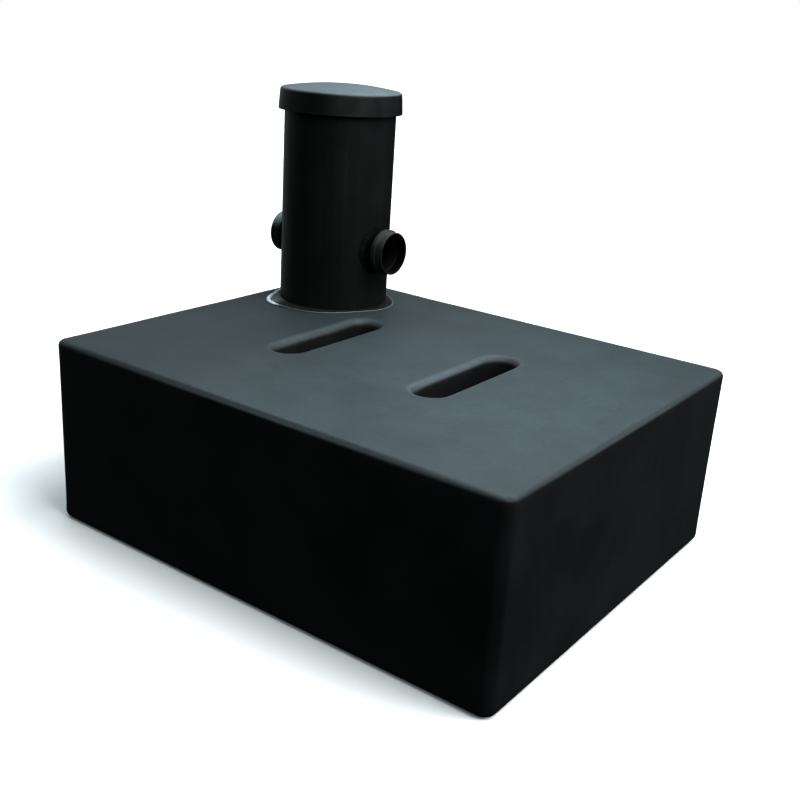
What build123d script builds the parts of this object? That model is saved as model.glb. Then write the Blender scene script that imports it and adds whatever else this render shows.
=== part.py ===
from build123d import *
from math import cos, exp, radians, sin
import os

# Low-profile water tank with a capped riser. Millimetres, +Z up.
# The origin is the centre of the tank's flat underside. X runs along its length.

# ---- driving dimensions -------------------------------------------------------------
tank_length = 1330.0
tank_width = 1080.0
tank_height = 485.0
tank_wall = 7.0
side_radius = 32.0                 # upright edges
top_radius = 15.0                  # edges of the roof
base_radius = 20.0                 # edges of the underside

slot_pitch = 442.0                 # between the two through-slots
slot_x = -12.0                     # middle of the pair
slot_y = 9.0
slot_length = 384.0
slot_width = 75.0
slot_rim_radius = 24.0

riser_x = -472.0
riser_y = 312.0
riser_od = 315.0                   # standard shaft pipe
riser_wall = 8.0
riser_edge = 1.5                   # chamfer at the riser's top
riser_rise = 600.0                 # cap's shoulder above the roof
neck_depth = 48.0                  # the riser stands this deep in the tank's neck

cap_skirt = 58.0
cap_wall = 5.0
cap_mouth_radius = 175.0
cap_top_radius = 171.0
cap_dome = 17.0                    # rise of the cap's middle above its shoulder
cap_edge_radius = 10.0
cap_mark_radius = 5.0              # shallow moulding mark in the middle of the cap
cap_mark_depth = 1.0
cap_seal_height = 12.0
cap_seal_inset = 14.0              # seal above the cap's mouth

socket_rise = 170.0                # axis of both sockets above the roof
pipe_bore_radius = 55.3            # takes a 110 mm drain pipe
socket_depth = 36.0                # pipe stop to mouth
socket_mouth_radius = 60.0
socket_mouth_edge = 1.5            # chamfers at the mouth
socket_collar_radius = 64.5        # swelling over the seal groove
socket_collar_rounding = 4.0
socket_collar_slope = 8.0          # length of the slope from the neck up to the collar
socket_neck_radius = 54.0
socket_neck_wall = 5.0
outlet_reach = 58.0                # mouth beyond the riser's wall
inlet_reach = 46.0
lip_groove_length = 8.0
lip_groove_depth = 4.0
lip_groove_inset = 3.0             # pipe stop to groove

wall_seal_radius = 66.0
wall_hole_radius = 61.0
wall_seal_flange = 4.0             # outside the riser
wall_seal_lip = 4.0                # inside the riser

gasket_margin = 6.0                # least reach of the foot gasket beyond the riser
gasket_thickness = 4.0
gasket_bulges = (                  # where it reaches further: direction, spread (degrees), reach
    (-115, 20, 34.0),
    (-75, 30, 26.0),
    (10, 30, 20.0),
)
bead_width = 9.0
bead_height = 7.0

basket_radius = 124.0
basket_base_radius = 114.0
basket_depth = 230.0
basket_wall = 2.5
basket_rim_radius = 140.0
basket_rim_thickness = 3.0
basket_clearance = 3.0             # between the basket's wall and the ledge it hangs through
support_ring_top = 566.0
support_ring_thickness = 6.0
bail_radius = 131.0
bail_wire_radius = 3.0
bail_rise = 6.0                    # bail's pivot above the basket's rim
bail_ear_width = 14.0
bail_ear_thickness = 3.0
bail_ear_crown = 3.0               # ear's rise above the wire
bail_pin_overhang = 2.0            # pin's end beyond the ear
bail_rest_length = 12.0            # blocks on the rim that the bail lies on
bail_rest_width = 8.0

gap = 0.3                          # between pieces that move past each other
hinge_gap = 0.08                   # running fit of the bail in its ears

# ---- sizes that follow --------------------------------------------------------------
riser_radius = riser_od / 2
riser_inner = riser_radius - riser_wall
riser_foot = tank_height - neck_depth
cap_shoulder = tank_height + riser_rise
cap_top = cap_shoulder + cap_dome
cap_mouth = cap_shoulder - cap_skirt
lining_radius = cap_top_radius - cap_wall
lining_rise = cap_dome * (1 - ((riser_radius - riser_edge) / lining_radius) ** 2)
riser_top = cap_shoulder - cap_wall + lining_rise - gap
socket_z = tank_height + socket_rise
rim_underside = support_ring_top + gap
rim_top = rim_underside + basket_rim_thickness
basket_bottom = rim_top - basket_depth
bail_z = rim_top + bail_rise

riser_axis = Axis((riser_x, riser_y, 0), (0, 0, 1))
riser_section = Plane(origin=(riser_x, riser_y, 0), x_dir=(1, 0, 0), z_dir=(0, -1, 0))


def riser_level(height):
    """The level plane at one height, centred on the riser."""
    return Plane(origin=(riser_x, riser_y, height))


# ---- tank ---------------------------------------------------------------------------
def slotted_block(inset):
    """The tank's outer shape, or that shape drawn in by a wall thickness, as a solid."""
    with BuildPart() as block:
        with BuildSketch(Plane.XY.offset(inset)):
            RectangleRounded(tank_length - 2 * inset, tank_width - 2 * inset, side_radius - inset)
            with Locations((slot_x - slot_pitch / 2, slot_y), (slot_x + slot_pitch / 2, slot_y)):
                SlotOverall(slot_length + 2 * inset, slot_width + 2 * inset, rotation=90,
                            mode=Mode.SUBTRACT)
        extrude(amount=tank_height - 2 * inset)
        roof = block.faces().sort_by(Axis.Z)[-1]
        floor = block.faces().sort_by(Axis.Z)[0]
        rims = [edge for face in (roof, floor) for wire in face.inner_wires() for edge in wire.edges()]
        fillet(roof.outer_wire().edges(), top_radius - inset)
        fillet(floor.outer_wire().edges(), base_radius - inset)
        fillet(rims, slot_rim_radius - inset)
    return block


neck_bore = riser_radius + gap
neck_bottom = riser_foot - tank_wall

with BuildPart() as water_space:
    add(slotted_block(tank_wall).part)
    with BuildSketch(riser_level(neck_bottom)):
        Circle(neck_bore + tank_wall)
    extrude(amount=neck_depth + tank_wall, mode=Mode.SUBTRACT)

with BuildPart() as tank_shell:
    add(slotted_block(0).part)
    add(water_space.part, mode=Mode.SUBTRACT)
    with BuildSketch(riser_level(neck_bottom)):
        Circle(riser_inner)
    extrude(amount=tank_wall, mode=Mode.SUBTRACT)
    with BuildSketch(riser_level(riser_foot)):
        Circle(neck_bore)
    extrude(amount=neck_depth, mode=Mode.SUBTRACT)
tank_shell.part.label = "tank_shell"

# ---- riser and its two pipe sockets -------------------------------------------------
with BuildPart() as riser_tube:
    with BuildSketch(riser_level(riser_foot)):
        Circle(riser_radius)
        Circle(riser_inner, mode=Mode.SUBTRACT)
    extrude(amount=riser_top - riser_foot)
    chamfer(riser_tube.edges().group_by(Axis.Z)[-1], riser_edge)
    with Locations(Location((riser_x, riser_y, socket_z), (0, 90, 0))):
        Cylinder(wall_hole_radius, 2 * riser_od, mode=Mode.SUBTRACT)
riser_tube.part.label = "riser_tube"


def socket_plane(side):
    """Upright plane through the socket's axis: X outwards on that side, Y up."""
    return Plane(origin=(riser_x, riser_y, socket_z), x_dir=(side, 0, 0), z_dir=(0, -side, 0))


def pipe_socket(name, side, reach):
    """A pipe stub with a collar over its seal groove, trimmed to the riser's inside."""
    mouth = riser_radius + reach
    stop = mouth - socket_depth
    root = riser_inner - socket_mouth_radius / 2
    neck_inner = socket_neck_radius - socket_neck_wall
    groove_start = stop + lip_groove_inset
    groove_end = groove_start + lip_groove_length
    groove_radius = pipe_bore_radius + lip_groove_depth
    collar_start = groove_start - socket_collar_rounding
    collar_end = groove_end + socket_collar_rounding
    with BuildPart() as socket:
        with BuildSketch(socket_plane(side)) as profile:
            with BuildLine():
                Polyline(
                    (root, neck_inner),
                    (stop, neck_inner),
                    (stop, pipe_bore_radius),
                    (groove_start, pipe_bore_radius),
                    (groove_start, groove_radius),
                    (groove_end, groove_radius),
                    (groove_end, pipe_bore_radius),
                    (mouth - socket_mouth_edge, pipe_bore_radius),
                    (mouth, pipe_bore_radius + socket_mouth_edge),
                    (mouth, socket_mouth_radius - socket_mouth_edge),
                    (mouth - socket_mouth_edge, socket_mouth_radius),
                    (collar_end, socket_mouth_radius),
                    (collar_end, socket_collar_radius),
                    (collar_start, socket_collar_radius),
                    (collar_start - socket_collar_slope, socket_neck_radius),
                    (root, socket_neck_radius),
                    close=True,
                )
            make_face()
            for corner in ((collar_start, socket_collar_radius), (collar_end, socket_collar_radius)):
                fillet(profile.vertices().sort_by_distance(corner)[0], socket_collar_rounding)
        revolve(axis=Axis(socket_plane(side).origin, socket_plane(side).x_dir))
        with Locations((riser_x, riser_y, socket_z)):
            Cylinder(riser_inner - wall_seal_lip / 2, riser_od, mode=Mode.SUBTRACT)
    socket.part.label = name
    return socket


def lip_seal(name, side, reach):
    """The rubber ring in a socket's groove."""
    groove_centre = riser_radius + reach - socket_depth + lip_groove_inset + lip_groove_length / 2
    with BuildPart() as seal:
        with BuildSketch(socket_plane(side)):
            with Locations((groove_centre, pipe_bore_radius + lip_groove_depth / 2)):
                Rectangle(lip_groove_length, lip_groove_depth)
        revolve(axis=Axis(socket_plane(side).origin, socket_plane(side).x_dir))
    seal.part.label = name
    return seal


def wall_seal(name, side, socket):
    """The grommet that grips the riser's wall around a stub, saddle-shaped on both faces."""
    with BuildPart() as seal:
        with BuildSketch(socket_plane(side)):
            with Locations((riser_radius, (socket_neck_radius + wall_seal_radius) / 2)):
                Rectangle(riser_radius, wall_seal_radius - socket_neck_radius)
        revolve(axis=Axis(socket_plane(side).origin, socket_plane(side).x_dir))
        with Locations((riser_x, riser_y, socket_z)):
            Cylinder(riser_radius + wall_seal_flange, riser_od, mode=Mode.INTERSECT)
            Cylinder(riser_inner - wall_seal_lip, riser_od, mode=Mode.SUBTRACT)
        add(riser_tube.part, mode=Mode.SUBTRACT)
        add(socket.part, mode=Mode.SUBTRACT)
    seal.part.label = name
    return seal


outlet_socket = pipe_socket("outlet_socket", 1, outlet_reach)
inlet_socket = pipe_socket("inlet_socket", -1, inlet_reach)
outlet_lip_seal = lip_seal("outlet_lip_seal", 1, outlet_reach)
inlet_lip_seal = lip_seal("inlet_lip_seal", -1, inlet_reach)
outlet_wall_seal = wall_seal("outlet_wall_seal", 1, outlet_socket)
inlet_wall_seal = wall_seal("inlet_wall_seal", -1, inlet_socket)


# ---- seal at the riser's foot -------------------------------------------------------
def foot_radius(angle):
    """How far the hand-cut gasket reaches from the riser's axis at an angle in degrees."""
    bulges = [reach * exp(-(((angle - direction) / spread) ** 2))
              for direction, spread, reach in gasket_bulges]
    return riser_radius + gasket_margin + sum(bulges)


def foot_outline(grow):
    """The gasket's smooth closed outline around the riser, grown outwards, as a face."""
    step = 9
    with BuildSketch() as outline:
        with BuildLine():
            Spline(*[((foot_radius(angle) + grow) * cos(radians(angle)),
                      (foot_radius(angle) + grow) * sin(radians(angle)))
                     for angle in range(-180, 180, step)], periodic=True)
        make_face()
    return outline.sketch


gasket_outline = foot_outline(0)
bead_outline = foot_outline(bead_width)

with BuildPart() as foot_gasket:
    with BuildSketch(riser_level(tank_height)):
        add(gasket_outline)
        Circle(neck_bore, mode=Mode.SUBTRACT)
    extrude(amount=gasket_thickness)
foot_gasket.part.label = "foot_gasket"

with BuildPart() as foot_bead:
    with BuildSketch(riser_level(tank_height)):
        add(bead_outline)
        add(gasket_outline, mode=Mode.SUBTRACT)
    extrude(amount=bead_height)
    fillet(foot_bead.edges().group_by(Axis.Z)[-1], bead_height / 2)
foot_bead.part.label = "foot_bead"

# ---- cap ----------------------------------------------------------------------------
def dome_line(depth):
    """The arc from the middle of the cap out to its shoulder, at a depth below its skin."""
    reach = cap_top_radius - depth
    halfway_share = 0.75               # how much of the dome is left halfway out
    return ThreePointArc(
        (0, cap_top - depth),
        (reach / 2, cap_shoulder - depth + halfway_share * cap_dome),
        (reach, cap_shoulder - depth),
    )


with BuildPart() as riser_cap:
    with BuildSketch(riser_section) as cap_profile:
        with BuildLine():
            skin = dome_line(0)
            Polyline(
                skin @ 1,
                (cap_mouth_radius, cap_mouth),
                (cap_mouth_radius - cap_wall, cap_mouth),
                (cap_top_radius - cap_wall, cap_shoulder - cap_wall),
            )
            lining = dome_line(cap_wall)
            Line(lining @ 0, skin @ 0)
        make_face()
        for corner, radius in ((skin @ 1, cap_edge_radius), (lining @ 1, cap_edge_radius - cap_wall)):
            fillet(cap_profile.vertices().sort_by_distance(corner)[0], radius)
    revolve(axis=riser_axis)
    with BuildSketch(riser_level(cap_top - cap_mark_depth)):
        Circle(cap_mark_radius)
    extrude(amount=cap_mark_depth, mode=Mode.SUBTRACT)
riser_cap.part.label = "riser_cap"

with BuildPart() as cap_seal_ring:
    with BuildSketch(riser_level(cap_mouth + cap_seal_inset)):
        Circle(cap_mouth_radius - cap_wall / 2)
        Circle(riser_radius + gap, mode=Mode.SUBTRACT)
    extrude(amount=cap_seal_height)
    add(riser_cap.part, mode=Mode.SUBTRACT)
cap_seal_ring.part.label = "cap_seal_ring"

# ---- filter basket, its ledge and its bail --------------------------------------------
with BuildPart() as basket_support_ring:
    with BuildSketch(riser_level(support_ring_top - support_ring_thickness)):
        Circle(riser_inner)
        Circle(basket_radius + basket_clearance, mode=Mode.SUBTRACT)
    extrude(amount=support_ring_thickness)
basket_support_ring.part.label = "basket_support_ring"

ear_inside = bail_radius + bail_wire_radius + gap
ear_outside = ear_inside + bail_ear_thickness
ear_height = bail_rise + bail_wire_radius + bail_ear_crown
rest_height = bail_rise - bail_wire_radius - gap
pin_end = ear_outside + bail_pin_overhang
wall_slot_rows = 3
wall_slots_per_row = 24
wall_slot_height = 52.0
wall_slot_width = 5.0
wall_slot_pitch = 66.0
wall_slot_cut = 40.0               # length of the cutter that goes through the wall
lowest_slot = 45.0                 # centre of the lowest row above the basket's base
floor_hole_radius = 5.0
floor_rings = {28: 6, 56: 12, 86: 18}

with BuildPart() as filter_basket:
    with BuildSketch(riser_section):
        with BuildLine():
            Polyline(
                (0, basket_bottom),
                (basket_base_radius, basket_bottom),
                (basket_radius, rim_underside),
                (basket_rim_radius, rim_underside),
                (basket_rim_radius, rim_top),
                (basket_radius - basket_wall, rim_top),
                (basket_base_radius - basket_wall, basket_bottom + basket_wall),
                (0, basket_bottom + basket_wall),
                close=True,
            )
        make_face()
    revolve(axis=riser_axis)
    for row in range(wall_slot_rows):
        with Locations((riser_x, riser_y, basket_bottom + lowest_slot + row * wall_slot_pitch)):
            with PolarLocations(basket_radius, wall_slots_per_row):
                Box(wall_slot_cut, wall_slot_width, wall_slot_height, mode=Mode.SUBTRACT)
    with BuildSketch(riser_level(basket_bottom)):
        Circle(floor_hole_radius)
        for ring_radius, holes in floor_rings.items():
            with PolarLocations(ring_radius, holes):
                Circle(floor_hole_radius)
    extrude(amount=basket_wall, mode=Mode.SUBTRACT)
    for side in (-1, 1):
        with Locations((riser_x + side * (ear_inside + ear_outside) / 2, riser_y, rim_top + ear_height / 2)):
            Box(bail_ear_thickness, bail_ear_width, ear_height)
        with Locations((riser_x, riser_y + side * bail_radius, rim_top + rest_height / 2)):
            Box(bail_rest_length, bail_rest_width, rest_height)
    with Locations(Location((riser_x, riser_y, bail_z), (0, 90, 0))):
        Cylinder(bail_wire_radius + hinge_gap, riser_od, mode=Mode.SUBTRACT)
filter_basket.part.label = "filter_basket"

with BuildPart() as basket_bail:
    with BuildSketch(riser_section):
        with Locations((bail_radius, bail_z)):
            Circle(bail_wire_radius)
    revolve(axis=riser_axis, revolution_arc=180)
    for side in (-1, 1):
        with Locations(Location((riser_x + side * (bail_radius + pin_end) / 2, riser_y, bail_z), (0, 90, 0))):
            Cylinder(bail_wire_radius, pin_end - bail_radius)
basket_bail.part.label = "basket_bail"

# ---- files --------------------------------------------------------------------------
os.makedirs("parts", exist_ok=True)
for piece in (
    tank_shell,
    riser_tube,
    outlet_socket,
    inlet_socket,
    outlet_lip_seal,
    inlet_lip_seal,
    outlet_wall_seal,
    inlet_wall_seal,
    foot_gasket,
    foot_bead,
    riser_cap,
    cap_seal_ring,
    basket_support_ring,
    filter_basket,
    basket_bail,
):
    export_step(piece.part, f"parts/{piece.part.label}.step")
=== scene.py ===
from math import asin, atan2, cos, exp, hypot, pi, radians, sin

import bmesh
import bpy
import numpy as np
from mathutils import Matrix, Vector, noise
from mathutils.geometry import delaunay_2d_cdt
from mathutils.kdtree import KDTree


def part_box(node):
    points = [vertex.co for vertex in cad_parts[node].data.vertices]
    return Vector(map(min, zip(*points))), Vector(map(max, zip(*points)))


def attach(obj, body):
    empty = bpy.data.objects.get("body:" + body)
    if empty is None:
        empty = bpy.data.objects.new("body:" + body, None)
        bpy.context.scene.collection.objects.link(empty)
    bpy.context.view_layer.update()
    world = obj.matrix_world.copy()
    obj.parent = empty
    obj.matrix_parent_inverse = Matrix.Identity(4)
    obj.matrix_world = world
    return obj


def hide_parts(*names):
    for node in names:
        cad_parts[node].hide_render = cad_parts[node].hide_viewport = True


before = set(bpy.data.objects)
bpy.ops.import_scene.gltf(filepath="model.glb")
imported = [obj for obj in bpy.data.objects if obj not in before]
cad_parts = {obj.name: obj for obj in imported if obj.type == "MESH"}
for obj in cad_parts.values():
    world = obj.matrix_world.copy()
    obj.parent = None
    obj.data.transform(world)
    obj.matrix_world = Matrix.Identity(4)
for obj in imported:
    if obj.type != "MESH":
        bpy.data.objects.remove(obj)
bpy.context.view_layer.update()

# A low-profile water tank with a capped riser. Metres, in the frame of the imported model:
# +Z up, X along the tank, origin at the centre of its underside.

# ---- sizes --------------------------------------------------------------------------
mm = 0.001
tank_low, tank_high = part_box("tank_shell")
riser_low, riser_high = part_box("riser_tube")
cap_low, cap_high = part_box("riser_cap")
socket_low, socket_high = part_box("outlet_socket")

tank_length = tank_high.x - tank_low.x
tank_width = tank_high.y - tank_low.y
tank_height = tank_high.z
tank_wall = 7 * mm
side_radius = 32 * mm
top_radius = 15 * mm
base_radius = 20 * mm

slot_places = (-233 * mm, 209 * mm)
slot_y = 9 * mm
slot_length = 384 * mm
slot_width = 75 * mm
slot_rim_radius = 24 * mm

riser_middle = (riser_low + riser_high) / 2
riser_radius = (riser_high.x - riser_low.x) / 2
riser_wall = 8 * mm
riser_inner = riser_radius - riser_wall
riser_foot = riser_low.z
neck_gap = 0.3 * mm
neck_bore = riser_radius + neck_gap
neck_bottom = riser_foot - tank_wall
socket_z = (socket_low.z + socket_high.z) / 2
pipe_bore = 55.3 * mm


def eased(value, low, high):
    """Rises smoothly from 0 at low to 1 at high."""
    share = min(1, max(0, (value - low) / (high - low)))
    return share * share * (3 - 2 * share)


# ---- outlines -----------------------------------------------------------------------
def arc(centre, radius, start, end, steps):
    """Flat points along an arc, between two angles in degrees."""
    turns = [radians(start + (end - start) * i / steps) for i in range(steps + 1)]
    return [(centre[0] + radius * cos(turn), centre[1] + radius * sin(turn)) for turn in turns]


def run(start, end, spacing):
    """Evenly spaced flat points from one point up to, but without, another."""
    across, along = end[0] - start[0], end[1] - start[1]
    count = max(1, round(hypot(across, along) / spacing))
    return [(start[0] + across * i / count, start[1] + along * i / count) for i in range(count)]


def circle(radius, steps):
    """Flat points round the riser's axis."""
    return arc(riser_middle, radius, 0, 360, steps)[:-1]


def tank_outline(inset, spacing):
    """The tank's plan outline moved inwards. Its number of points depends on the spacing only."""
    reach_x = tank_length / 2 - side_radius
    reach_y = tank_width / 2 - side_radius
    corners = ((reach_x, reach_y), (-reach_x, reach_y), (-reach_x, -reach_y), (reach_x, -reach_y))
    points = []
    for quarter, corner in enumerate(corners):
        bend = arc(corner, side_radius - inset, 90 * quarter, 90 * quarter + 90, 8)
        after = corners[(quarter + 1) % 4]
        end = bend[-1][0] + after[0] - corner[0], bend[-1][1] + after[1] - corner[1]
        points += bend[:-1] + run(bend[-1], end, spacing)
    return points


def slot_outline(place, grow, spacing):
    """A slot's plan outline grown outwards. Its number of points depends on the spacing only."""
    reach = (slot_length - slot_width) / 2
    points = []
    for side, start in ((1, 0), (-1, 180)):
        bend = arc((place, slot_y + side * reach), slot_width / 2 + grow, start, start + 180, 16)
        points += bend[:-1] + run(bend[-1], (bend[-1][0], slot_y - side * reach), spacing)
    return points


def within(points, outline):
    """Whether each flat point lies inside a closed outline."""
    x, y = points[:, 0, None], points[:, 1, None]
    start, end = outline, np.roll(outline, -1, axis=0)
    crosses = (start[:, 1] > y) != (end[:, 1] > y)
    rise = np.where(crosses, end[:, 1] - start[:, 1], 1)
    meets = start[:, 0] + (y - start[:, 1]) * (end[:, 0] - start[:, 0]) / rise
    return (crosses & (x < meets)).sum(axis=1) % 2 == 1


# ---- mesh building ------------------------------------------------------------------
class Shape:
    """A mesh that is built up from rings of points and the faces between them."""

    def __init__(self):
        self.mesh = bmesh.new()

    def ring(self, outline, level):
        return [self.mesh.verts.new((x, y, level)) for x, y in outline]

    def bands(self, rings):
        """Joins each closed ring to the next with four-sided faces."""
        for first, second in zip(rings, rings[1:]):
            for i in range(len(first)):
                j = (i + 1) % len(first)
                self.mesh.faces.new((first[i], first[j], second[j], second[i]))

    def plate(self, border, holes, spacing):
        """A level sheet of even triangles inside a border ring and outside the hole rings."""
        loops = [np.array([vert.co.xy for vert in loop]) for loop in (border, *holes)]
        fixed = [vert for loop in (border, *holes) for vert in loop]
        edges, start = [], 0
        for loop in loops:
            edges += [(start + i, start + (i + 1) % len(loop)) for i in range(len(loop))]
            start += len(loop)

        def covered(points):
            inside = within(points, loops[0])
            for hole in loops[1:]:
                inside &= ~within(points, hole)
            return inside

        near = KDTree(len(fixed))
        for i, vert in enumerate(fixed):
            near.insert((vert.co.x, vert.co.y, 0), i)
        near.balance()
        grid = staggered(loops[0].min(axis=0), loops[0].max(axis=0), spacing)
        grid = grid[covered(grid)]
        inner = [point for point in grid if near.find((*point, 0))[2] > 0.6 * spacing]
        flat = [vert.co.xy for vert in fixed] + [Vector(point) for point in inner]
        points, _, faces, sources, _, _ = delaunay_2d_cdt(flat, edges, [], 0, 1e-7)
        level = border[0].co.z
        verts = [
            fixed[source[0]] if source[0] < len(fixed) else self.mesh.verts.new((*point, level))
            for point, source in zip(points, sources)
        ]
        middles = np.array([sum((points[i] for i in face), Vector((0, 0))) / 3 for face in faces])
        for face, kept in zip(faces, covered(middles)):
            if kept:
                self.mesh.faces.new([verts[i] for i in face])

    def turned(self, profile, steps):
        """Turns a profile of radius and level that starts and ends on the riser's axis."""
        rings = [self.ring(circle(radius, steps), level) for radius, level in profile[1:-1]]
        self.bands(rings)
        for (_, level), ring in ((profile[0], rings[0]), (profile[-1], rings[-1])):
            pole = self.mesh.verts.new((riser_middle.x, riser_middle.y, level))
            for first, second in zip(ring, ring[1:] + ring[:1]):
                self.mesh.faces.new((pole, first, second))

    def settle(self):
        """Turns every face outwards."""
        bmesh.ops.recalc_face_normals(self.mesh, faces=self.mesh.faces)
        self.mesh.normal_update()

    def piece(self, name, node, body, slot, finish):
        """Makes the mesh a smooth piece that stands for a CAD node."""
        data = bpy.data.meshes.new(name)
        self.mesh.to_mesh(data)
        self.mesh.free()
        data.polygons.foreach_set("use_smooth", [True] * len(data.polygons))
        data.materials.append(finish)
        made = bpy.data.objects.new(name, data)
        bpy.context.scene.collection.objects.link(made)
        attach(made, body)
        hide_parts(node)
        return made


def staggered(low, high, spacing):
    """A grid of even triangles' corners over a flat box."""
    rows = np.arange(low[1] + spacing / 2, high[1], spacing * sin(pi / 3))
    columns = np.arange(low[0] + spacing / 2, high[0], spacing)
    points = [(x + spacing / 2 * (i % 2), y) for i, y in enumerate(rows) for x in columns]
    return np.array(points)


# ---- node materials -----------------------------------------------------------------
class Finish:
    """A Principled material, with short ways to add the nodes that feed it."""

    def __init__(self, name, **settings):
        self.material = bpy.data.materials.new(name)
        self.material.use_nodes = True
        self.nodes = self.material.node_tree.nodes
        self.links = self.material.node_tree.links
        self.surface = self.nodes["Principled BSDF"]
        for socket, value in settings.items():
            self.surface.inputs[socket.replace("_", " ")].default_value = value
        self.place = self.nodes.new("ShaderNodeTexCoord").outputs["Object"]

    def put(self, value, socket):
        """Links an output to a socket, or sets the socket to a plain value."""
        if isinstance(value, bpy.types.NodeSocket):
            self.links.new(value, socket)
        else:
            socket.default_value = value

    def stretched(self, x, y, z):
        """The place on the piece, scaled along each axis."""
        mapping = self.nodes.new("ShaderNodeMapping")
        mapping.inputs["Scale"].default_value = (x, y, z)
        self.put(self.place, mapping.inputs["Vector"])
        return mapping.outputs["Vector"]

    def noise(self, scale, detail=4, place=None):
        texture = self.nodes.new("ShaderNodeTexNoise")
        self.put(place or self.place, texture.inputs["Vector"])
        texture.inputs["Scale"].default_value = scale
        texture.inputs["Detail"].default_value = detail
        texture.inputs["Roughness"].default_value = 0.55
        return texture.outputs["Fac"]

    def cells(self, scale):
        texture = self.nodes.new("ShaderNodeTexVoronoi")
        self.put(self.place, texture.inputs["Vector"])
        texture.inputs["Scale"].default_value = scale
        return texture.outputs["Distance"]

    def between(self, value, low, high, to_low=0.0, to_high=1.0):
        """Spreads the stretch from low to high over another one, smoothly and with ends held."""
        spread = self.nodes.new("ShaderNodeMapRange")
        spread.interpolation_type = "SMOOTHSTEP"
        for socket, number in zip(("Value", "From Min", "From Max", "To Min", "To Max"),
                                  (value, low, high, to_low, to_high)):
            self.put(number, spread.inputs[socket])
        return spread.outputs["Result"]

    def maths(self, operation, first, second):
        node = self.nodes.new("ShaderNodeMath")
        node.operation = operation
        self.put(first, node.inputs[0])
        self.put(second, node.inputs[1])
        return node.outputs["Value"]

    def blend(self, factor, first, second):
        """A colour between two others."""
        mix = self.nodes.new("ShaderNodeMix")
        mix.data_type = "RGBA"
        self.put(factor, mix.inputs["Factor"])
        first_colour, second_colour = [socket for socket in mix.inputs if socket.type == "RGBA"]
        self.put(first, first_colour)
        self.put(second, second_colour)
        return next(socket for socket in mix.outputs if socket.type == "RGBA")

    def upward(self):
        """1 where the surface looks up and 0 where it looks sideways or down."""
        split = self.nodes.new("ShaderNodeSeparateXYZ")
        self.put(self.nodes.new("ShaderNodeNewGeometry").outputs["Normal"], split.inputs[0])
        return self.between(split.outputs["Z"], 0.22, 0.90)

    def place_along(self, axis):
        """The place on the piece along X, Y or Z."""
        split = self.nodes.new("ShaderNodeSeparateXYZ")
        self.put(self.place, split.inputs[0])
        return split.outputs[axis]

    def on_slot_rims(self):
        """1 on the rolled rims of the two slots and 0 elsewhere."""
        def beyond(axis, middle, straight):
            """How far the place lies past the ends of a straight stretch along an axis."""
            away = self.maths("ABSOLUTE", self.maths("SUBTRACT", self.place_along(axis), middle), 0)
            return self.maths("MAXIMUM", self.maths("SUBTRACT", away, straight), 0)

        rim, half_width = slot_rim_radius, slot_width / 2
        past_end = beyond("Y", slot_y, slot_length / 2 - half_width)
        rims = []
        for place in slot_places:
            aside = beyond("X", place, 0)
            squares = self.maths("ADD", self.maths("MULTIPLY", aside, aside),
                                 self.maths("MULTIPLY", past_end, past_end))
            away = self.maths("SQRT", squares, 0)
            rims.append(self.between(away, half_width + 1.1 * rim, half_width + 0.5 * rim))
        return self.maths("MAXIMUM", *rims)

    def off_socket_axis(self):
        """How far the surface lies from the line through both pipe sockets."""
        mapping = self.nodes.new("ShaderNodeMapping")
        mapping.inputs["Scale"].default_value = (0, 1, 1)
        mapping.inputs["Location"].default_value = (0, -riser_middle.y, -socket_z)
        self.put(self.place, mapping.inputs["Vector"])
        length = self.nodes.new("ShaderNodeVectorMath")
        length.operation = "LENGTH"
        self.put(mapping.outputs["Vector"], length.inputs[0])
        return length.outputs["Value"]

    def worn(self):
        """1 on outer edges and 0 on flat faces."""
        return self.between(self.nodes.new("ShaderNodeNewGeometry").outputs["Pointiness"], 0.52, 0.6)

    def colour(self, value):
        self.put(value, self.surface.inputs["Base Color"])

    def roughness(self, value):
        self.put(value, self.surface.inputs["Roughness"])

    def bump(self, *layers):
        """Stacks bump layers, each a height and a depth in metres."""
        normal = None
        for height, depth in layers:
            bump = self.nodes.new("ShaderNodeBump")
            self.put(height, bump.inputs["Height"])
            bump.inputs["Distance"].default_value = depth
            if normal:
                self.links.new(normal, bump.inputs["Normal"])
            normal = bump.outputs["Normal"]
        self.links.new(normal, self.surface.inputs["Normal"])


def grey(value, coolness=0.0):
    """A near-neutral colour, bluer with more coolness and warmer below zero."""
    return (value * (1 - 1.3 * coolness), value, value * (1 + 0.5 * coolness), 1)


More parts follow.
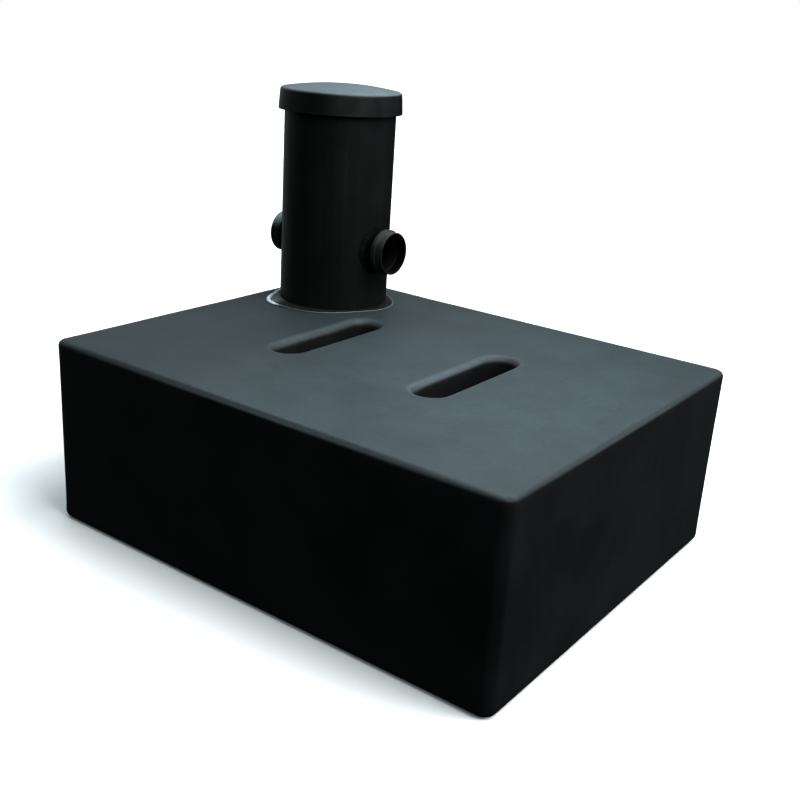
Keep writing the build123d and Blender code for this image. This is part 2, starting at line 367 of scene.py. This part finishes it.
def tank_plastic():
    """Rotomoulded black polyethylene: matt, faintly orange-peeled, dusty and scuffed on top, with
    painted top light.
    """
    finish = Finish("tank_plastic", Specular_IOR_Level=0.22)
    clouds = finish.noise(5, detail=6)
    flecks = finish.noise(140, detail=3)
    body = finish.blend(finish.between(clouds, 0.3, 0.7), grey(0.009, 0.1), grey(0.015, 0.1))
    drifts = finish.between(finish.noise(7, detail=8), 0.3, 0.7, 0.80, 1.0)
    # Painted shade: the top is darkened to 0.66 from X = -20 mm towards X = -420 mm, on the riser's
    # side.
    deepest_painted_shade, full = -420 * mm, -20 * mm
    painted_shade_by_riser = finish.between(finish.place_along("X"), deepest_painted_shade, full, 0.66, 1.0)
    # Dust and painted top light: paler where the surface faces up, broken by drifts and flecks.
    dust_and_painted_light = finish.maths("MULTIPLY", finish.maths("MULTIPLY", finish.upward(), drifts),
                        painted_shade_by_riser)
    dust_and_painted_light = finish.maths("MULTIPLY", dust_and_painted_light, finish.between(flecks, 0.35, 0.65, 0.86, 1.0))
    scuffs = finish.between(finish.noise(1, detail=5, place=finish.stretched(26, 9, 70)), 0.66, 0.74)
    body = finish.blend(finish.maths("MULTIPLY", scuffs, 0.15), body, grey(0.04, 0.1))
    # Painted highlight: the slots' rolled rims get a paler top colour than the rest of the roof.
    pale_top_with_rim_highlight = finish.blend(finish.on_slot_rims(), grey(0.058, 0.2), grey(0.082, 0.18))
    body = finish.blend(dust_and_painted_light, body, pale_top_with_rim_highlight)
    finish.colour(finish.blend(finish.maths("MULTIPLY", finish.worn(), 0.35), body, grey(0.05, 0.15)))
    finish.roughness(finish.maths("ADD", finish.between(clouds, 0.3, 0.7, 0.46, 0.54),
                                  finish.maths("MULTIPLY", dust_and_painted_light, 0.16)))
    finish.bump((finish.noise(22, detail=3), 0.6 * mm), (finish.noise(420, detail=4), 0.10 * mm),
                (flecks, 0.12 * mm))
    return finish.material


def riser_plastic():
    """Extruded shaft pipe: smoother, with fine marks along its length."""
    finish = Finish("riser_plastic", Specular_IOR_Level=0.16)
    lines = finish.noise(1, detail=5, place=finish.stretched(90, 90, 1.5))
    clouds = finish.noise(7, detail=6)
    body = finish.blend(finish.between(clouds, 0.3, 0.7), grey(0.005, 0.05), grey(0.009, 0.05))
    runs = finish.between(finish.noise(1, detail=6, place=finish.stretched(24, 24, 2.2)), 0.5, 0.8)
    finish.colour(finish.blend(finish.maths("MULTIPLY", runs, 0.35), body, grey(0.02)))
    finish.roughness(finish.between(lines, 0.3, 0.7, 0.42, 0.55))
    finish.bump((lines, 0.08 * mm), (finish.noise(260, detail=3), 0.05 * mm))
    return finish.material


def socket_plastic():
    """Injection-moulded stubs: even satin with faint turned rings, dust with painted top light, and
    painted shade in the bore.
    """
    finish = Finish("socket_plastic", Specular_IOR_Level=0.12)
    rings = finish.noise(1, detail=3, place=finish.stretched(300, 12, 12))
    clouds = finish.noise(25, detail=5)
    body = finish.blend(finish.between(clouds, 0.35, 0.7), grey(0.010), grey(0.019))
    rubs = finish.between(finish.noise(60, detail=6), 0.56, 0.72)
    body = finish.blend(finish.maths("MULTIPLY", rubs, 0.3), body, grey(0.05))
    # Dust and painted top light on upward faces: full on the inlet's side, fading to 7% towards the
    # outlet's as painted light.
    painted_light_by_side = finish.between(finish.place_along("X"), riser_high.x, riser_low.x, 0.07, 1.0)
    dust_and_painted_light = finish.maths("MULTIPLY", finish.upward(), finish.between(clouds, 0.2, 0.7, 0.5, 1.0))
    body = finish.blend(finish.maths("MULTIPLY", dust_and_painted_light, painted_light_by_side), body, grey(0.55, 0.1))
    # Painted shade: inside the pipe's bore the colour is near black and rougher.
    clear_of_painted_bore_shade = finish.between(finish.off_socket_axis(), pipe_bore + 0.4 * mm, pipe_bore + 1.4 * mm)
    finish.colour(finish.blend(clear_of_painted_bore_shade, grey(0.0015), body))
    finish.roughness(finish.maths("SUBTRACT", finish.between(clouds, 0.3, 0.7, 0.82, 0.92),
                                  finish.maths("MULTIPLY", clear_of_painted_bore_shade, 0.42)))
    finish.bump((rings, 0.06 * mm), (finish.noise(500, detail=3), 0.04 * mm))
    return finish.material


def cap_plastic():
    """The cap: the same black, weathered pale where it faces the sky, with painted top light there
    too.
    """
    finish = Finish("cap_plastic", Specular_IOR_Level=0.2)
    clouds = finish.noise(18, detail=7)
    specks = finish.noise(220, detail=4)
    body = finish.blend(finish.between(clouds, 0.3, 0.7), grey(0.006, 0.06), grey(0.012, 0.06))
    # Weathered bloom and painted top light on the upward faces.
    bloom_and_top_light = finish.maths("MULTIPLY", finish.upward(), finish.between(clouds, 0.2, 0.75, 0.75, 1.0))
    bloom_and_top_light = finish.maths("MULTIPLY", bloom_and_top_light, finish.between(specks, 0.3, 0.6, 0.8, 1.0))
    body = finish.blend(bloom_and_top_light, body, grey(0.165, 0.16))
    finish.colour(finish.blend(finish.maths("MULTIPLY", finish.worn(), 0.4), body, grey(0.05, 0.1)))
    finish.roughness(finish.maths("ADD", finish.between(clouds, 0.3, 0.7, 0.42, 0.52),
                                  finish.maths("MULTIPLY", bloom_and_top_light, 0.2)))
    finish.bump((clouds, 0.25 * mm), (specks, 0.08 * mm))
    return finish.material


def seal_rubber():
    """Black EPDM rubber: matt, finely pitted, a little dusty."""
    finish = Finish("seal_rubber", Specular_IOR_Level=0.1)
    pits = finish.cells(900)
    clouds = finish.noise(45, detail=6)
    finish.colour(finish.blend(finish.between(clouds, 0.4, 0.8), grey(0.003), grey(0.011)))
    finish.roughness(finish.between(clouds, 0.3, 0.7, 0.55, 0.75))
    finish.bump((pits, 0.04 * mm), (finish.noise(120, detail=4), 0.10 * mm))
    return finish.material


def gasket_rubber():
    """The foot's gasket: the same rubber, pale with dust and painted light at the riser's -X end,
    dark as painted shade elsewhere.
    """
    finish = Finish("gasket_rubber", Specular_IOR_Level=0.2)
    clouds = finish.noise(45, detail=6)
    # Painted light and shade: pale at the riser's -X end, dark from there towards +X.
    painted_lit_side = finish.between(finish.place_along("X"), riser_low.x + 115 * mm, riser_low.x + 75 * mm,
                               0.05, 0.9)
    dust_and_painted_light = finish.maths("MULTIPLY", finish.upward(), painted_lit_side)
    dust_and_painted_light = finish.maths("MULTIPLY", dust_and_painted_light, finish.between(clouds, 0.3, 0.7, 0.7, 1.0))
    finish.colour(finish.blend(dust_and_painted_light, grey(0.005), grey(0.15, 0.12)))
    finish.roughness(finish.between(clouds, 0.3, 0.7, 0.6, 0.8))
    finish.bump((finish.cells(700), 0.04 * mm), (finish.noise(90, detail=4), 0.2 * mm))
    return finish.material


def sealant():
    """Hand-run sealant: rippled, palest at the thick loop beside the riser, grubby elsewhere."""
    finish = Finish("sealant", Specular_IOR_Level=0.35)
    grime = finish.between(finish.noise(70, detail=7), 0.45, 0.75)
    loop = finish.between(finish.place_along("X"), riser_low.x + 130 * mm, riser_low.x + 95 * mm)
    body = finish.blend(loop, grey(0.078, 0.1), grey(0.62, 0.08))
    finish.colour(finish.blend(finish.maths("MULTIPLY", grime, 0.5), body, grey(0.09, 0.1)))
    finish.roughness(finish.between(finish.noise(40), 0.3, 0.7, 0.35, 0.6))
    finish.bump((finish.noise(160, detail=5), 0.5 * mm), (finish.noise(700, detail=3), 0.08 * mm))
    return finish.material


def basket_plastic():
    """The basket's moulded polypropylene, stained by leaves and water."""
    finish = Finish("basket_plastic", Specular_IOR_Level=0.4)
    clouds = finish.noise(20, detail=6)
    stain = finish.between(finish.noise(1, detail=6, place=finish.stretched(40, 40, 9)), 0.5, 0.75)
    body = finish.blend(finish.between(clouds, 0.3, 0.7), grey(0.022, 0.03), grey(0.036, 0.03))
    finish.colour(finish.blend(finish.maths("MULTIPLY", stain, 0.5), body, (0.075, 0.06, 0.04, 1)))
    finish.roughness(finish.between(clouds, 0.3, 0.7, 0.38, 0.55))
    finish.bump((finish.noise(300, detail=3), 0.06 * mm), (clouds, 0.15 * mm))
    return finish.material


def bail_steel():
    """Drawn stainless wire with lengthwise marks and water spots."""
    finish = Finish("bail_steel", Metallic=1.0)
    marks = finish.noise(900, detail=3)
    spots = finish.between(finish.noise(160, detail=5), 0.6, 0.7)
    finish.colour(finish.blend(spots, grey(0.56, -0.02), grey(0.36, -0.05)))
    finish.roughness(finish.maths("ADD", finish.between(marks, 0.3, 0.7, 0.22, 0.36),
                                  finish.maths("MULTIPLY", spots, 0.2)))
    finish.bump((marks, 0.02 * mm), (spots, 0.01 * mm))
    return finish.material


finishes = {
    "tank_plastic": tank_plastic(),
    "riser_plastic": riser_plastic(),
    "socket_plastic": socket_plastic(),
    "cap_plastic": cap_plastic(),
    "seal_rubber": seal_rubber(),
    "gasket_rubber": gasket_rubber(),
    "sealant": sealant(),
    "basket_plastic": basket_plastic(),
    "bail_steel": bail_steel(),
}

# ---- tank ---------------------------------------------------------------------------
fine = 11 * mm                     # mesh spacing of the outer skin
coarse = 34 * mm                   # and of the inner one
edge_steps = 6
neck_steps = 96


def wall_profile(top, base, low, high, spacing):
    """Distance moved in and level, down a wall from the roof's edge to the underside's."""
    turns = [radians(90 * i / edge_steps) for i in range(edge_steps + 1)]
    upper = [(top * (1 - sin(turn)), high - top * (1 - cos(turn))) for turn in turns]
    lower = [(base * (1 - sin(turn)), low + base * (1 - cos(turn))) for turn in reversed(turns)]
    return upper[:-1] + run(upper[-1], lower[0], spacing) + lower


def tank_skin(shape, inset, spacing):
    """The tank's outer skin, or the inner one at a wall's thickness inside it, open at the neck."""
    def walls(outline, top, base):
        profile = wall_profile(top - inset, base - inset, inset, tank_height - inset, spacing)
        rings = [shape.ring(outline(inset + moved), level) for moved, level in profile]
        shape.bands(rings)
        return rings[0], rings[-1]

    sides = [walls(lambda moved: tank_outline(moved, spacing), top_radius, base_radius)]
    for place in slot_places:
        sides.append(walls(lambda moved: slot_outline(place, moved, spacing),
                           slot_rim_radius, slot_rim_radius))
    neck = shape.ring(circle(neck_bore + inset, neck_steps), tank_height - inset)
    roof_border, *roof_holes = [top for top, _ in sides]
    base_border, *base_holes = [base for _, base in sides]
    shape.plate(roof_border, [*roof_holes, neck], spacing)
    shape.plate(base_border, base_holes, 2 * spacing)
    return neck


panel_bow = 2.2 * mm               # in the middle of each flat panel
broad_waves = 1.3 * mm
small_waves = 0.35 * mm
level_round_riser = 200 * mm       # the roof is true this near the riser's axis
wavy_beyond = 320 * mm
level_above_floor = 50 * mm


def pulled_in(point, normal):
    """How far the cooling plastic has drawn in at a point of the outer skin."""
    half = Vector((tank_length, tank_width, tank_height)) / 2
    offset = point - Vector((0, 0, tank_height / 2))
    bow = 1.0
    for place, reach, facing in zip(offset, half, normal):
        if abs(facing) < 0.5:
            bow *= max(0, 1 - (place / reach) ** 2)
    broad = 0.5 + 0.5 * noise.noise(point * 3.4)
    small = 0.5 + 0.5 * noise.noise(point * 15 + Vector((7, 3, 1)))
    clear_of_riser = eased((point.xy - riser_middle.xy).length, level_round_riser, wavy_beyond)
    clear_of_floor = eased(point.z, 0, level_above_floor)
    depth = panel_bow * bow + broad_waves * max(0, broad) + small_waves * max(0, small)
    return depth * clear_of_riser * clear_of_floor


def make_tank():
    """The hollow tank: both skins, joined by the neck and the seat that the riser stands in."""
    shape = Shape()
    mouth = tank_skin(shape, 0, fine)
    outer = list(shape.mesh.verts)
    inner_mouth = tank_skin(shape, tank_wall, coarse)
    shape.bands([
        mouth,
        shape.ring(circle(neck_bore, neck_steps), riser_foot),
        shape.ring(circle(riser_inner, neck_steps), riser_foot),
        shape.ring(circle(riser_inner, neck_steps), neck_bottom),
        shape.ring(circle(neck_bore + tank_wall, neck_steps), neck_bottom),
        inner_mouth,
    ])
    shape.settle()
    for vert in outer:
        vert.co -= vert.normal * pulled_in(vert.co, vert.normal)
    shape.piece("tank", "tank_shell", "tank", "tank_plastic", finishes["tank_plastic"])


# ---- bead of sealant at the riser's foot --------------------------------------------
gasket_margin = 6 * mm
gasket_bulges = (                  # where it reaches further: direction, spread (degrees), reach
    (-115, 20, 34 * mm),
    (-75, 30, 26 * mm),
    (10, 30, 20 * mm),
)


def foot_radius(angle):
    """How far the hand-cut gasket reaches from the riser's axis at an angle in degrees."""
    bulges = [reach * exp(-(((angle - direction) / spread) ** 2))
              for direction, spread, reach in gasket_bulges]
    return riser_radius + gasket_margin + sum(bulges)


def make_bead():
    """The uneven bead along the gasket's edge, thick in a loop on the riser's near left."""
    stations, section = 360, 12
    seam_angle = -255                  # behind the riser, clear of every bulge
    bead_offset = 3 * mm               # the bead's middle beyond the gasket's edge
    full_width, full_height = 15 * mm, 9 * mm
    loop_angle, loop_spread = -135, 32
    shape = Shape()
    rings = [[] for i in range(section)]
    for station in range(stations):
        angle = seam_angle + 360 * station / stations
        out = Vector((cos(radians(angle)), sin(radians(angle)), 0))
        spot = out * (foot_radius(angle) + bead_offset)
        lump = 0.5 + 0.5 * noise.noise(spot * 55)
        fill = 0.45 + 0.55 * exp(-(((angle - loop_angle) / loop_spread) ** 4))
        width = full_width * min(1, fill * (0.8 + 0.35 * lump))
        height = full_height * min(1, fill * (0.75 + 0.4 * lump))
        wander = (full_width - width) / 4 * noise.noise(spot * 30 + Vector((3, 5, 2)))
        for i in range(section):
            turn = 2 * pi * i / section
            across = width / 2 * cos(turn) + wander
            up = height * max(0, sin(turn)) ** 0.8
            rings[i].append(riser_middle.xy.to_3d() + spot + out * across
                            + Vector((0, 0, tank_height + up)))
    loops = [[shape.mesh.verts.new(point) for point in ring] for ring in rings]
    shape.bands(loops + loops[:1])
    bmesh.ops.dissolve_degenerate(shape.mesh, dist=1e-6, edges=shape.mesh.edges)
    shape.settle()
    shape.piece("sealant_bead", "foot_bead", "tank", "sealant", finishes["sealant"])


# ---- riser --------------------------------------------------------------------------
riser_steps = 120
riser_mesh = 9 * mm
wall_hole_radius = 61 * mm
wall_hole_steps = 64
riser_edge = 1.5 * mm


def unrolled_wall(shape, radius, top):
    """One side of the riser's wall, drawn flat and then rolled up, with its two pipe holes."""
    start, end = -pi / 2, 3 * pi / 2

    def flat(angle, level):
        return angle * riser_radius, level

    corners = flat(start, riser_foot), flat(end, riser_foot), flat(end, top), flat(start, top)
    step = 2 * pi * riser_radius / riser_steps
    sides = [run(*pair, step) for pair in zip(corners, corners[1:] + corners[:1])]
    border = shape.ring([point for side in sides for point in side], 0)
    holes = []
    for middle in (0, pi):
        turns = [2 * pi * i / wall_hole_steps for i in range(wall_hole_steps)]
        outline = [flat(middle + asin(wall_hole_radius * cos(turn) / radius),
                        socket_z + wall_hole_radius * sin(turn)) for turn in turns]
        holes.append(shape.ring(outline, 0))
    earlier = set(shape.mesh.verts) - set(border) - {vert for hole in holes for vert in hole}
    shape.plate(border, holes, riser_mesh)
    for vert in set(shape.mesh.verts) - earlier:
        angle, level = vert.co.x / riser_radius, vert.co.y
        vert.co = riser_middle.x + radius * cos(angle), riser_middle.y + radius * sin(angle), level
    low_end = border[:len(sides[0]) + 1]
    high_end = border[len(sides[0]) + len(sides[1]):][:len(sides[2]) + 1]
    return low_end, high_end, holes


def make_riser():
    """The shaft pipe: two rolled walls, joined at the foot, round the holes and over the rim."""
    shape = Shape()
    top = riser_high.z
    outer_foot, outer_top, outer_holes = unrolled_wall(shape, riser_radius, top - riser_edge)
    inner_foot, inner_top, inner_holes = unrolled_wall(shape, riser_inner, top - riser_edge)
    turns = [atan2(vert.co.y - riser_middle.y, vert.co.x - riser_middle.x) for vert in outer_top]
    outer_rim, inner_rim = [
        [shape.mesh.verts.new((riser_middle.x + radius * cos(turn),
                               riser_middle.y + radius * sin(turn), top)) for turn in turns]
        for radius in (riser_radius - riser_edge, riser_inner + riser_edge)
    ]
    over_rim = outer_top, outer_rim, inner_rim, inner_top
    for first, second in ((outer_foot, inner_foot), *zip(over_rim, over_rim[1:])):
        for i in range(len(first) - 1):
            shape.mesh.faces.new((first[i], first[i + 1], second[i + 1], second[i]))
    for outer_hole, inner_hole in zip(outer_holes, inner_holes):
        shape.bands([outer_hole, inner_hole])
    bmesh.ops.remove_doubles(shape.mesh, verts=shape.mesh.verts, dist=1e-5)
    shape.settle()
    shape.piece("riser", "riser_tube", "tank", "riser_plastic", finishes["riser_plastic"])


# ---- pipe sockets -------------------------------------------------------------------
socket_depth = 36 * mm
mouth_radius = 60 * mm
collar_radius = (socket_high.z - socket_low.z) / 2
collar_rounding = 4 * mm
collar_slope = 8 * mm              # length of the slope from the neck up to the collar
neck_radius = 54 * mm
neck_inner = 49 * mm
outlet_reach = 58 * mm             # mouth beyond the riser's wall
inlet_reach = 46 * mm
socket_steps = 96
groove_length = 8 * mm
groove_depth = 4 * mm
groove_inset = 3 * mm
seal_lip = 4 * mm


def socket_ring(shape, side, reach, radius):
    """A ring round the sockets' axis, this far out from the riser's axis."""
    turns = [2 * pi * i / socket_steps for i in range(socket_steps)]
    return [shape.mesh.verts.new((riser_middle.x + side * reach, riser_middle.y + radius * cos(turn),
                                  socket_z + radius * sin(turn))) for turn in turns]


def saddle_ring(shape, side, radius):
    """A ring round the sockets' axis that follows the riser's inside."""
    ring = socket_ring(shape, side, 0, radius)
    inside = riser_inner - seal_lip / 2
    for vert in ring:
        vert.co.x += side * (inside ** 2 - (vert.co.y - riser_middle.y) ** 2) ** 0.5
    return ring


def make_socket(name, side, mouth):
    """A pipe stub: neck, collar over the seal groove, and a rounded mouth."""
    edge, small = 1.4 * mm, 0.6 * mm
    stop = mouth - socket_depth
    groove_start = stop + groove_inset
    groove_end = groove_start + groove_length
    groove_radius = pipe_bore + groove_depth
    inside = [(stop - small, neck_inner), (stop, neck_inner + small)]
    inside += [(stop, pipe_bore - small), (stop + small, pipe_bore)]
    inside += [(groove_start, pipe_bore), (groove_start, groove_radius)]
    inside += [(groove_end, groove_radius), (groove_end, pipe_bore)]
    lip = arc((mouth - edge, pipe_bore + edge), edge, -90, 0, 4)
    lip += arc((mouth - edge, mouth_radius - edge), edge, 0, 90, 4)
    collar_end = groove_end + collar_rounding
    fall = arc((collar_end + small, mouth_radius + small), small, 270, 180, 3)
    crown_level = collar_radius - collar_rounding
    crown = arc((groove_end, crown_level), collar_rounding, 0, 90, 6)
    crown += arc((groove_start, crown_level), collar_rounding, 90, 150, 6)
    neck_start = groove_start - collar_rounding - collar_slope, neck_radius
    slope = run(crown[-1], neck_start, 3 * mm) + [neck_start]
    profile = inside + lip + fall + crown + slope[1:]
    shape = Shape()
    rings = [saddle_ring(shape, side, neck_inner)]
    rings += [socket_ring(shape, side, reach, radius) for reach, radius in profile]
    rings.append(saddle_ring(shape, side, neck_radius))
    shape.bands(rings + rings[:1])
    shape.settle()
    piece_name = name.replace("_socket", "_stub")
    shape.piece(piece_name, name, "tank", "socket_plastic", finishes["socket_plastic"])


def make_lip_seal(name, side, mouth):
    """The rubber ring in the groove, with three small ribs towards the pipe."""
    start = mouth - socket_depth + groove_inset
    count = 36
    rib_height = 1.1 * mm
    profile = []
    for i in range(count + 1):
        share = i / count
        rib = 0.5 - 0.5 * cos(6 * pi * share)
        profile.append((start + groove_length * share, pipe_bore + rib_height * (1 - rib)))
    back = pipe_bore + groove_depth - 0.05 * mm
    profile += [(start + groove_length, back), (start, back)]
    shape = Shape()
    rings = [socket_ring(shape, side, reach, radius) for reach, radius in profile]
    shape.bands(rings + rings[:1])
    shape.settle()
    shape.piece(name.replace("_seal", "_ring"), name, "tank", "seal_rubber", finishes["seal_rubber"])


# ---- cap ----------------------------------------------------------------------------
cap_wall = 5 * mm
cap_dome = 17 * mm                 # rise of the cap's middle above its shoulder
cap_edge = 10 * mm
cap_lip = 1.5 * mm                 # rounding of the skirt's mouth
cap_mark_radius = 5 * mm           # shallow moulding mark in the middle of the cap
cap_mark_depth = 1 * mm
cap_ripple = 0.35 * mm
cap_flare = 4 * mm                 # how much wider the skirt's mouth is than its top
skirt_lean = 4                     # degrees
cap_mouth_radius = (cap_high.x - cap_low.x) / 2
cap_top_radius = cap_mouth_radius - cap_flare
cap_shoulder = cap_high.z - cap_dome
cap_mouth = cap_low.z
cap_steps = 160


def dome_level(radius, depth):
    """Level of the cap's top at a radius, at a depth below its skin."""
    return cap_shoulder - depth + cap_dome * (1 - (radius / (cap_top_radius - depth)) ** 2)


def skirt_radius(level):
    """Outer radius of the cap's flared skirt at a level."""
    share = (cap_shoulder - level) / (cap_shoulder - cap_mouth)
    return cap_top_radius + (cap_mouth_radius - cap_top_radius) * share


def cap_side(depth, rounding):
    """Profile from near the cap's middle, over its shoulder and down the skirt, at a depth."""
    shoulder_start = cap_top_radius - depth - rounding
    middle_level = dome_level(shoulder_start, depth) - rounding
    middle = skirt_radius(middle_level) - depth - rounding * cos(radians(skirt_lean))
    bend = arc((middle, middle_level), rounding, 84, skirt_lean, 8)
    across = run((cap_mark_radius + 4 * mm, 0), (bend[0][0], 0), 8 * mm)
    top = [(radius, dome_level(radius, depth)) for radius, _ in across]
    end = skirt_radius(cap_mouth + cap_lip) - depth, cap_mouth + cap_lip
    return top + bend[:-1] + run(bend[-1], end, 6 * mm) + [end]


def make_cap():
    """The slip-on cap, turned in one profile and then slightly rippled."""
    top, mark, sunk = cap_high.z, cap_mark_radius, cap_mark_depth
    centre = [(0, top - sunk), (mark - 0.6 * mm, top - sunk), (mark, top - 0.7 * sunk)]
    centre += [(mark + 0.1 * mm, top - 0.2 * sunk), (mark + 0.8 * mm, dome_level(mark, 0))]
    outer = cap_side(0, cap_edge)
    inner = cap_side(cap_wall, cap_edge - cap_wall)
    lip_level = cap_mouth + cap_lip
    bottom = arc((cap_mouth_radius - cap_lip, lip_level), cap_lip, -15, -90, 4)
    bottom += arc((cap_mouth_radius - cap_wall + cap_lip, lip_level), cap_lip, -90, -165, 4)
    profile = centre + outer + bottom + inner[::-1] + [(0, top - cap_wall)]
    shape = Shape()
    shape.turned(profile, cap_steps)
    shape.settle()
    for vert in shape.mesh.verts:
        wave = 0.5 + 0.5 * noise.noise(vert.co * 14)
        vert.co -= vert.normal * cap_ripple * min(1, max(0, wave))
    shape.piece("cap", "riser_cap", "cap", "cap_plastic", finishes["cap_plastic"])


make_tank()
make_bead()
make_riser()
for side, name, reach in ((1, "outlet", outlet_reach), (-1, "inlet", inlet_reach)):
    make_socket(f"{name}_socket", side, riser_radius + reach)
    make_lip_seal(f"{name}_lip_seal", side, riser_radius + reach)
make_cap()

# ---- pieces that keep their CAD shape -----------------------------------------------
node_finish = {
    "outlet_wall_seal": "seal_rubber",
    "inlet_wall_seal": "seal_rubber",
    "cap_seal_ring": "seal_rubber",
    "basket_support_ring": "riser_plastic",
    "filter_basket": "basket_plastic",
    "basket_bail": "bail_steel",
}


def dress(node, finish):
    """Gives a CAD node its material."""
    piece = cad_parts[node]
    piece.data.materials.clear()
    piece.data.materials.append(finishes[finish])


for node, slot in node_finish.items():
    dress(node, slot)
dress("foot_gasket", "gasket_rubber")

# ---- floor, light and camera --------------------------------------------------------


def make_floor():
    """A large pale disc, level with the tank's underside."""
    shape = bmesh.new()
    bmesh.ops.create_circle(shape, cap_ends=True, segments=128, radius=40)
    data = bpy.data.meshes.new("floor")
    shape.to_mesh(data)
    shape.free()
    floor = bpy.data.objects.new("floor", data)
    bpy.context.scene.collection.objects.link(floor)
    finish = Finish("pale_floor", Specular_IOR_Level=0.1)
    finish.colour(finish.blend(finish.noise(2.5, detail=3), grey(0.84), grey(0.88)))
    finish.roughness(0.8)
    data.materials.append(finish.material)
    floor.visible_diffuse = False
    floor.visible_glossy = False


def make_light():
    """A white room with an overhead glow for the object, and one broad soft lamp from the right."""
    world = bpy.data.worlds.new("studio")
    bpy.context.scene.world = world
    world.use_nodes = True
    nodes, links = world.node_tree.nodes, world.node_tree.links

    def towards(direction, low, high, dim, bright):
        """Rises smoothly from dim to bright as the sky turns towards a direction."""
        along = nodes.new("ShaderNodeVectorMath")
        along.operation = "DOT_PRODUCT"
        links.new(nodes.new("ShaderNodeTexCoord").outputs["Generated"], along.inputs[0])
        along.inputs[1].default_value = Vector(direction).normalized()
        spread = nodes.new("ShaderNodeMapRange")
        spread.interpolation_type = "SMOOTHSTEP"
        links.new(along.outputs["Value"], spread.inputs["Value"])
        ends = {"From Min": low, "From Max": high, "To Min": dim, "To Max": bright}
        for socket, value in ends.items():
            spread.inputs[socket].default_value = value
        return spread.outputs["Result"]

    def together(first, second):
        total = nodes.new("ShaderNodeMath")
        links.new(first, total.inputs[0])
        links.new(second, total.inputs[1])
        return total.outputs["Value"]

    sides = together(towards((0.9, 0.35, 0.3), 0.3, 1.0, 0.0, 0.42),
                     towards((-0.9, 0.30, 0.3), 0.5, 1.0, 0.0, 0.75))
    total = together(sides, towards((0, 0, 1), -0.05, 0.85, 0.02, 0.80))
    sky = nodes["Background"]
    sky.inputs["Color"].default_value = (0.90, 1.0, 1.03, 1)
    links.new(total, sky.inputs["Strength"])
    white = nodes.new("ShaderNodeBackground")
    white.inputs["Color"].default_value = (1, 1, 1, 1)
    choose = nodes.new("ShaderNodeMixShader")
    links.new(nodes.new("ShaderNodeLightPath").outputs["Is Camera Ray"], choose.inputs["Fac"])
    links.new(sky.outputs["Background"], choose.inputs[1])
    links.new(white.outputs["Background"], choose.inputs[2])
    links.new(choose.outputs["Shader"], nodes["World Output"].inputs["Surface"])

    far_light = bpy.data.lights.new("far_lamp", "SUN")
    far_light.energy = 3.8
    far_light.angle = radians(55)
    far_lamp = bpy.data.objects.new("far_lamp", far_light)
    far_lamp.rotation_mode = "QUATERNION"
    far_lamp.rotation_quaternion = Vector((0.58, 0.25, 0.77)).to_track_quat("Z", "Y")
    near_light = bpy.data.lights.new("softbox", "AREA")
    near_light.energy = 18.5
    near_light.size = 0.9
    near_lamp = bpy.data.objects.new("softbox", near_light)
    near_lamp.location = (0.42, -0.10, tank_height + 1.0)
    near_lamp.visible_camera = False
    for lamp in (far_lamp, near_lamp):
        bpy.context.scene.collection.objects.link(lamp)


def make_camera():
    """Looks down on the tank's front corner, slightly rolled, as a hand-held camera is."""
    azimuth, elevation, roll = radians(35.37), radians(20.03), radians(3.75)
    distance = 3.081
    target = Vector((-0.180, 0.281, tank_height / 2))
    back = Vector((sin(azimuth) * cos(elevation), -cos(azimuth) * cos(elevation), sin(elevation)))
    right = Vector((cos(azimuth), sin(azimuth), 0))
    up = back.cross(right)
    rolled_right = right * cos(roll) + up * sin(roll)
    rolled_up = up * cos(roll) - right * sin(roll)
    data = bpy.data.cameras.new("camera")
    data.lens = 47.76
    data.sensor_width = 36
    camera = bpy.data.objects.new("camera", data)
    turn = Matrix((rolled_right, rolled_up, back)).transposed()
    camera.matrix_world = Matrix.Translation(target + back * distance) @ turn.to_4x4()
    bpy.context.scene.collection.objects.link(camera)
    bpy.context.scene.camera = camera


make_floor()
make_light()
make_camera()
view = bpy.context.scene.view_settings
view.view_transform = "Standard"
view.gamma = 0.76
